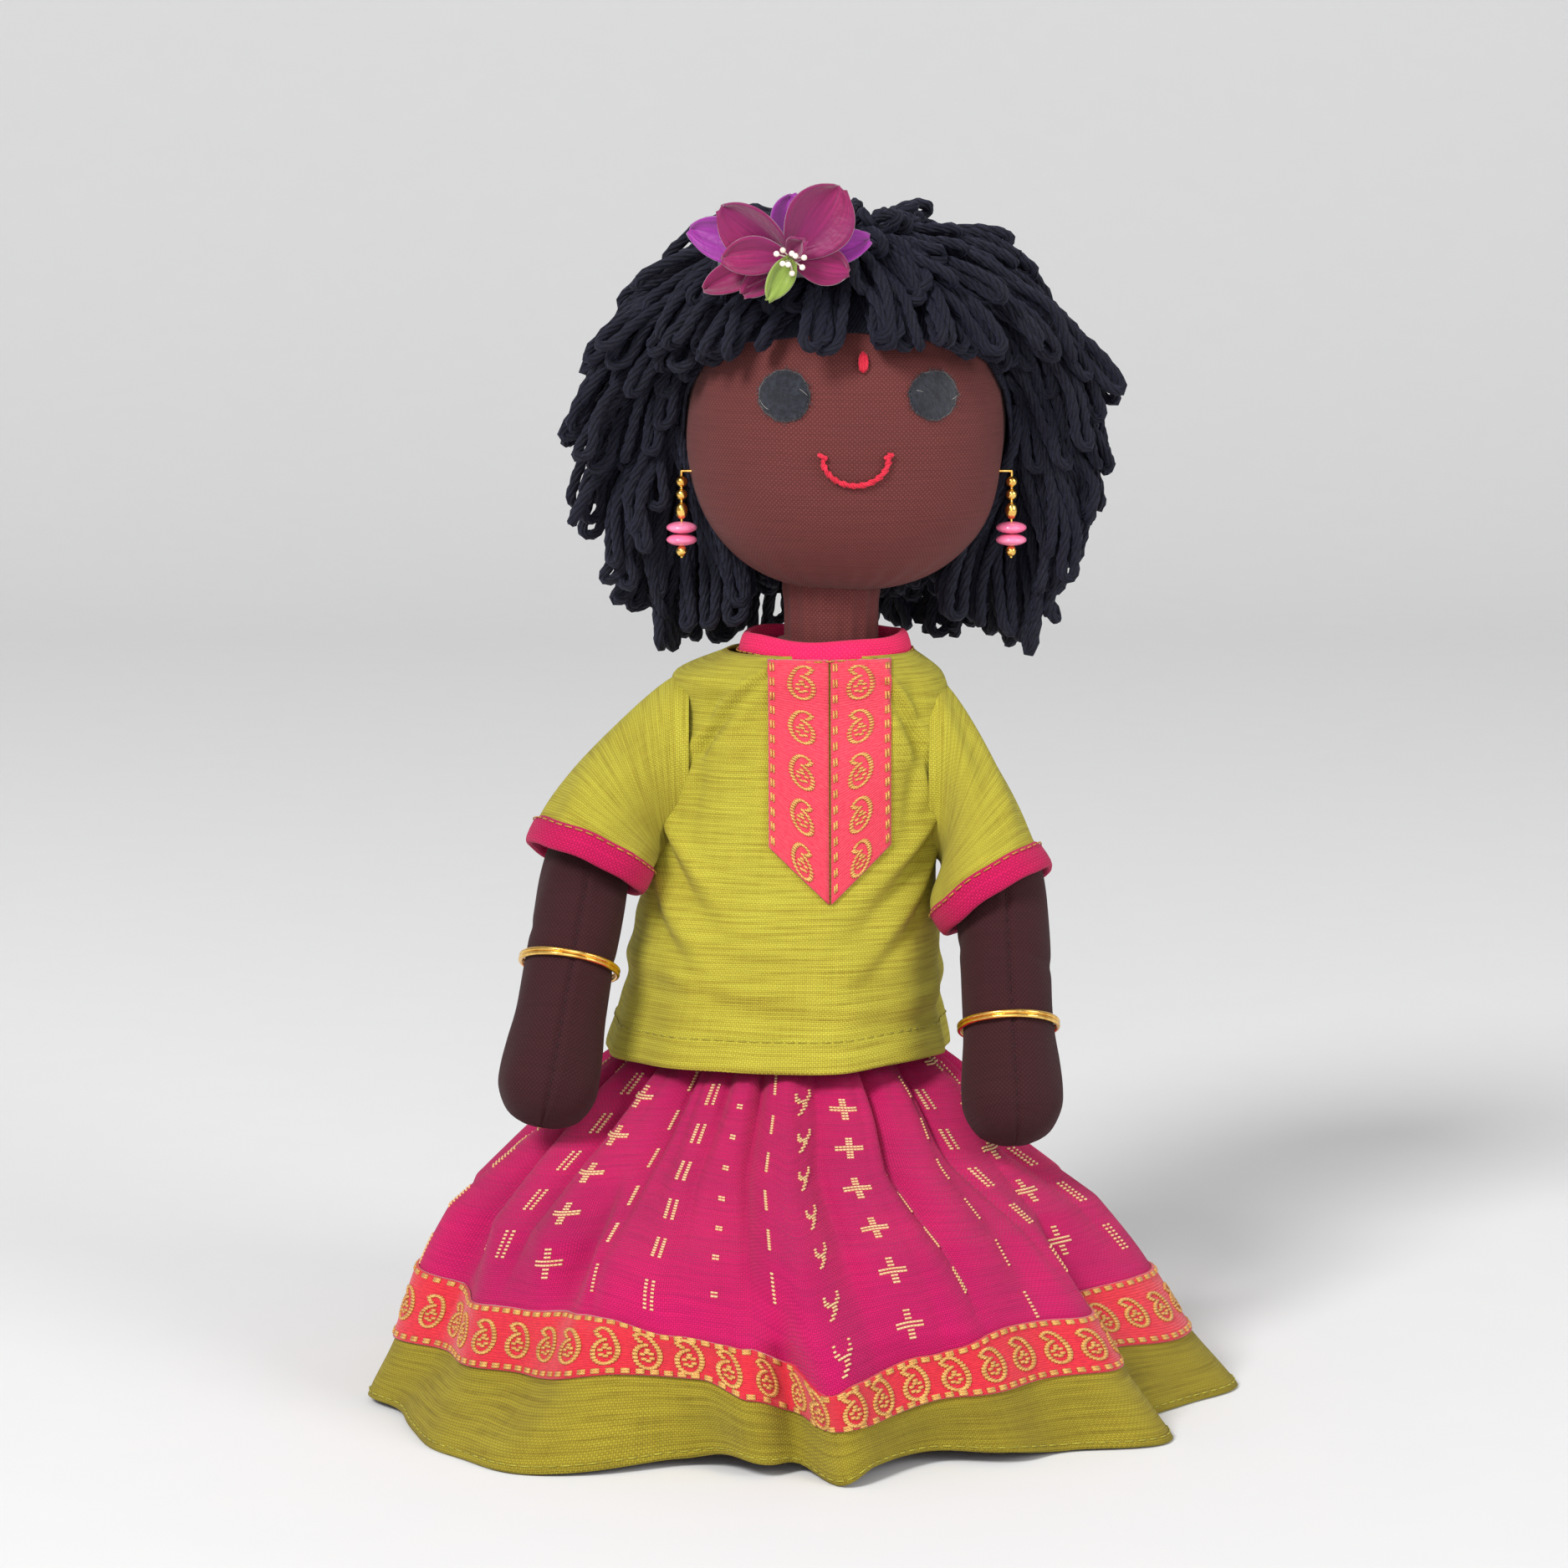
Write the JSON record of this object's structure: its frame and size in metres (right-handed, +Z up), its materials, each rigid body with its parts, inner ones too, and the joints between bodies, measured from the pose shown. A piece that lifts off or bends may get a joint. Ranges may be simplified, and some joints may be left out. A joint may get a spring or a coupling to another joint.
{
  "type": "seated cloth doll",
  "caption": "Seated stuffed cloth doll with yarn hair, fabric flower, bead earrings, blouse and gathered printed skirt",
  "frame": {"origin": "on the floor plane, under the flat seat of the torso", "axes": "+Z up, the doll faces -Y, its left hand is on the +X side"},
  "size_m": [0.199, 0.183, 0.289],
  "materials": {
    "brown_cotton": "matte",
    "polyester_fill": "matte",
    "olive_handloom": "matte",
    "magenta_cotton": "matte",
    "green_hem_cloth": "matte",
    "pink_binding": "matte",
    "coral_ribbon": "satin",
    "black_yarn": "matte",
    "charcoal_felt": "matte",
    "red_thread": "satin",
    "satin_petal": "satin",
    "green_leaf": "satin",
    "white_stamen": "matte",
    "gold_metal": "polished",
    "pink_bead": "gloss",
    "woven_elastic": "matte",
    "steel_snap": "satin"
  },
  "bodies": {
    "torso": {"torso_cover": "brown_cotton", "torso_stuffing": "polyester_fill", "blouse_body": "olive_handloom", "blouse_neck_binding": "pink_binding", "placket_ribbon_left": "coral_ribbon", "placket_ribbon_right": "coral_ribbon", "blouse_back_snaps": "steel_snap", "skirt_panel": "magenta_cotton", "skirt_hem_band": "green_hem_cloth", "skirt_trim_ribbon": "coral_ribbon", "skirt_waist_elastic": "woven_elastic"},
    "neck": {"neck_cover": "brown_cotton", "neck_stuffing": "polyester_fill"},
    "head": {"head_cover": "brown_cotton", "head_stuffing": "polyester_fill", "eye_patch_left": "charcoal_felt", "eye_patch_right": "charcoal_felt", "bindi_knot": "red_thread", "mouth_stitch": "red_thread", "hair_crown": "black_yarn", "hair_fringe": "black_yarn", "hair_back": "black_yarn", "hair_left": "black_yarn", "hair_right": "black_yarn", "flower_petals_back": "satin_petal", "flower_petals_front": "satin_petal", "flower_leaf": "green_leaf", "flower_stamens": "white_stamen", "flower_clip": "steel_snap"},
    "arm_left": {"arm_left_cover": "brown_cotton", "arm_left_stuffing": "polyester_fill", "sleeve_left": "olive_handloom", "sleeve_left_binding": "pink_binding"},
    "bangle_left": {"bangle_left": "gold_metal"},
    "earring_left": {"earring_left_wire": "gold_metal", "earring_left_gold_beads": "gold_metal", "earring_left_pink_beads": "pink_bead"},
    "leg_left": {"leg_left_cover": "brown_cotton", "leg_left_stuffing": "polyester_fill"},
    "arm_right": {"arm_right_cover": "brown_cotton", "arm_right_stuffing": "polyester_fill", "sleeve_right": "olive_handloom", "sleeve_right_binding": "pink_binding"},
    "bangle_right": {"bangle_right": "gold_metal"},
    "earring_right": {"earring_right_wire": "gold_metal", "earring_right_gold_beads": "gold_metal", "earring_right_pink_beads": "pink_bead"},
    "leg_right": {"leg_right_cover": "brown_cotton", "leg_right_stuffing": "polyester_fill"}
  },
  "joints": [
    {"name": "neck_turn", "type": "hinge", "parent": "torso", "child": "neck", "pos_m": [0.007, -0.001, 0.1784], "axis": [0, 0, 1], "range_deg": [-30, 30]},
    {"name": "head_nod", "type": "hinge", "parent": "neck", "child": "head", "pos_m": [0.007, -0.001, 0.1888], "axis": [1, 0, 0], "range_deg": [-8, 10]},
    {"name": "shoulder_left", "type": "hinge", "parent": "torso", "child": "arm_left", "pos_m": [0.0466, -0.002, 0.148], "axis": [-1, 0, 0], "range_deg": [0, 75]},
    {"name": "bangle_slide_left", "type": "slide", "parent": "arm_left", "child": "bangle_left", "axis": [-0.0374, 0.4315, 0.9013], "range_m": [-0.002, 0.022]},
    {"name": "earring_swing_left", "type": "hinge", "parent": "head", "child": "earring_left", "pos_m": [0.0504, -0.01, 0.2189], "axis": [-1, 0, 0], "range_deg": [-12, 35]},
    {"name": "hip_splay_left", "type": "hinge", "parent": "torso", "child": "leg_left", "pos_m": [0.01, -0.0384, 0.0153], "axis": [0, 0, -1], "range_deg": [-3, 12]},
    {"name": "shoulder_right", "type": "hinge", "parent": "torso", "child": "arm_right", "pos_m": [-0.0464, -0.002, 0.15], "axis": [-1, 0, 0], "range_deg": [0, 75]},
    {"name": "bangle_slide_right", "type": "slide", "parent": "arm_right", "child": "bangle_right", "axis": [0.1566, 0.4182, 0.8948], "range_m": [-0.002, 0.017]},
    {"name": "earring_swing_right", "type": "hinge", "parent": "head", "child": "earring_right", "pos_m": [-0.0292, -0.01, 0.2189], "axis": [-1, 0, 0], "range_deg": [-12, 35]},
    {"name": "hip_splay_right", "type": "hinge", "parent": "torso", "child": "leg_right", "pos_m": [-0.024, -0.0384, 0.0153], "axis": [0, 0, 1], "range_deg": [-3, 12]}
  ]
}
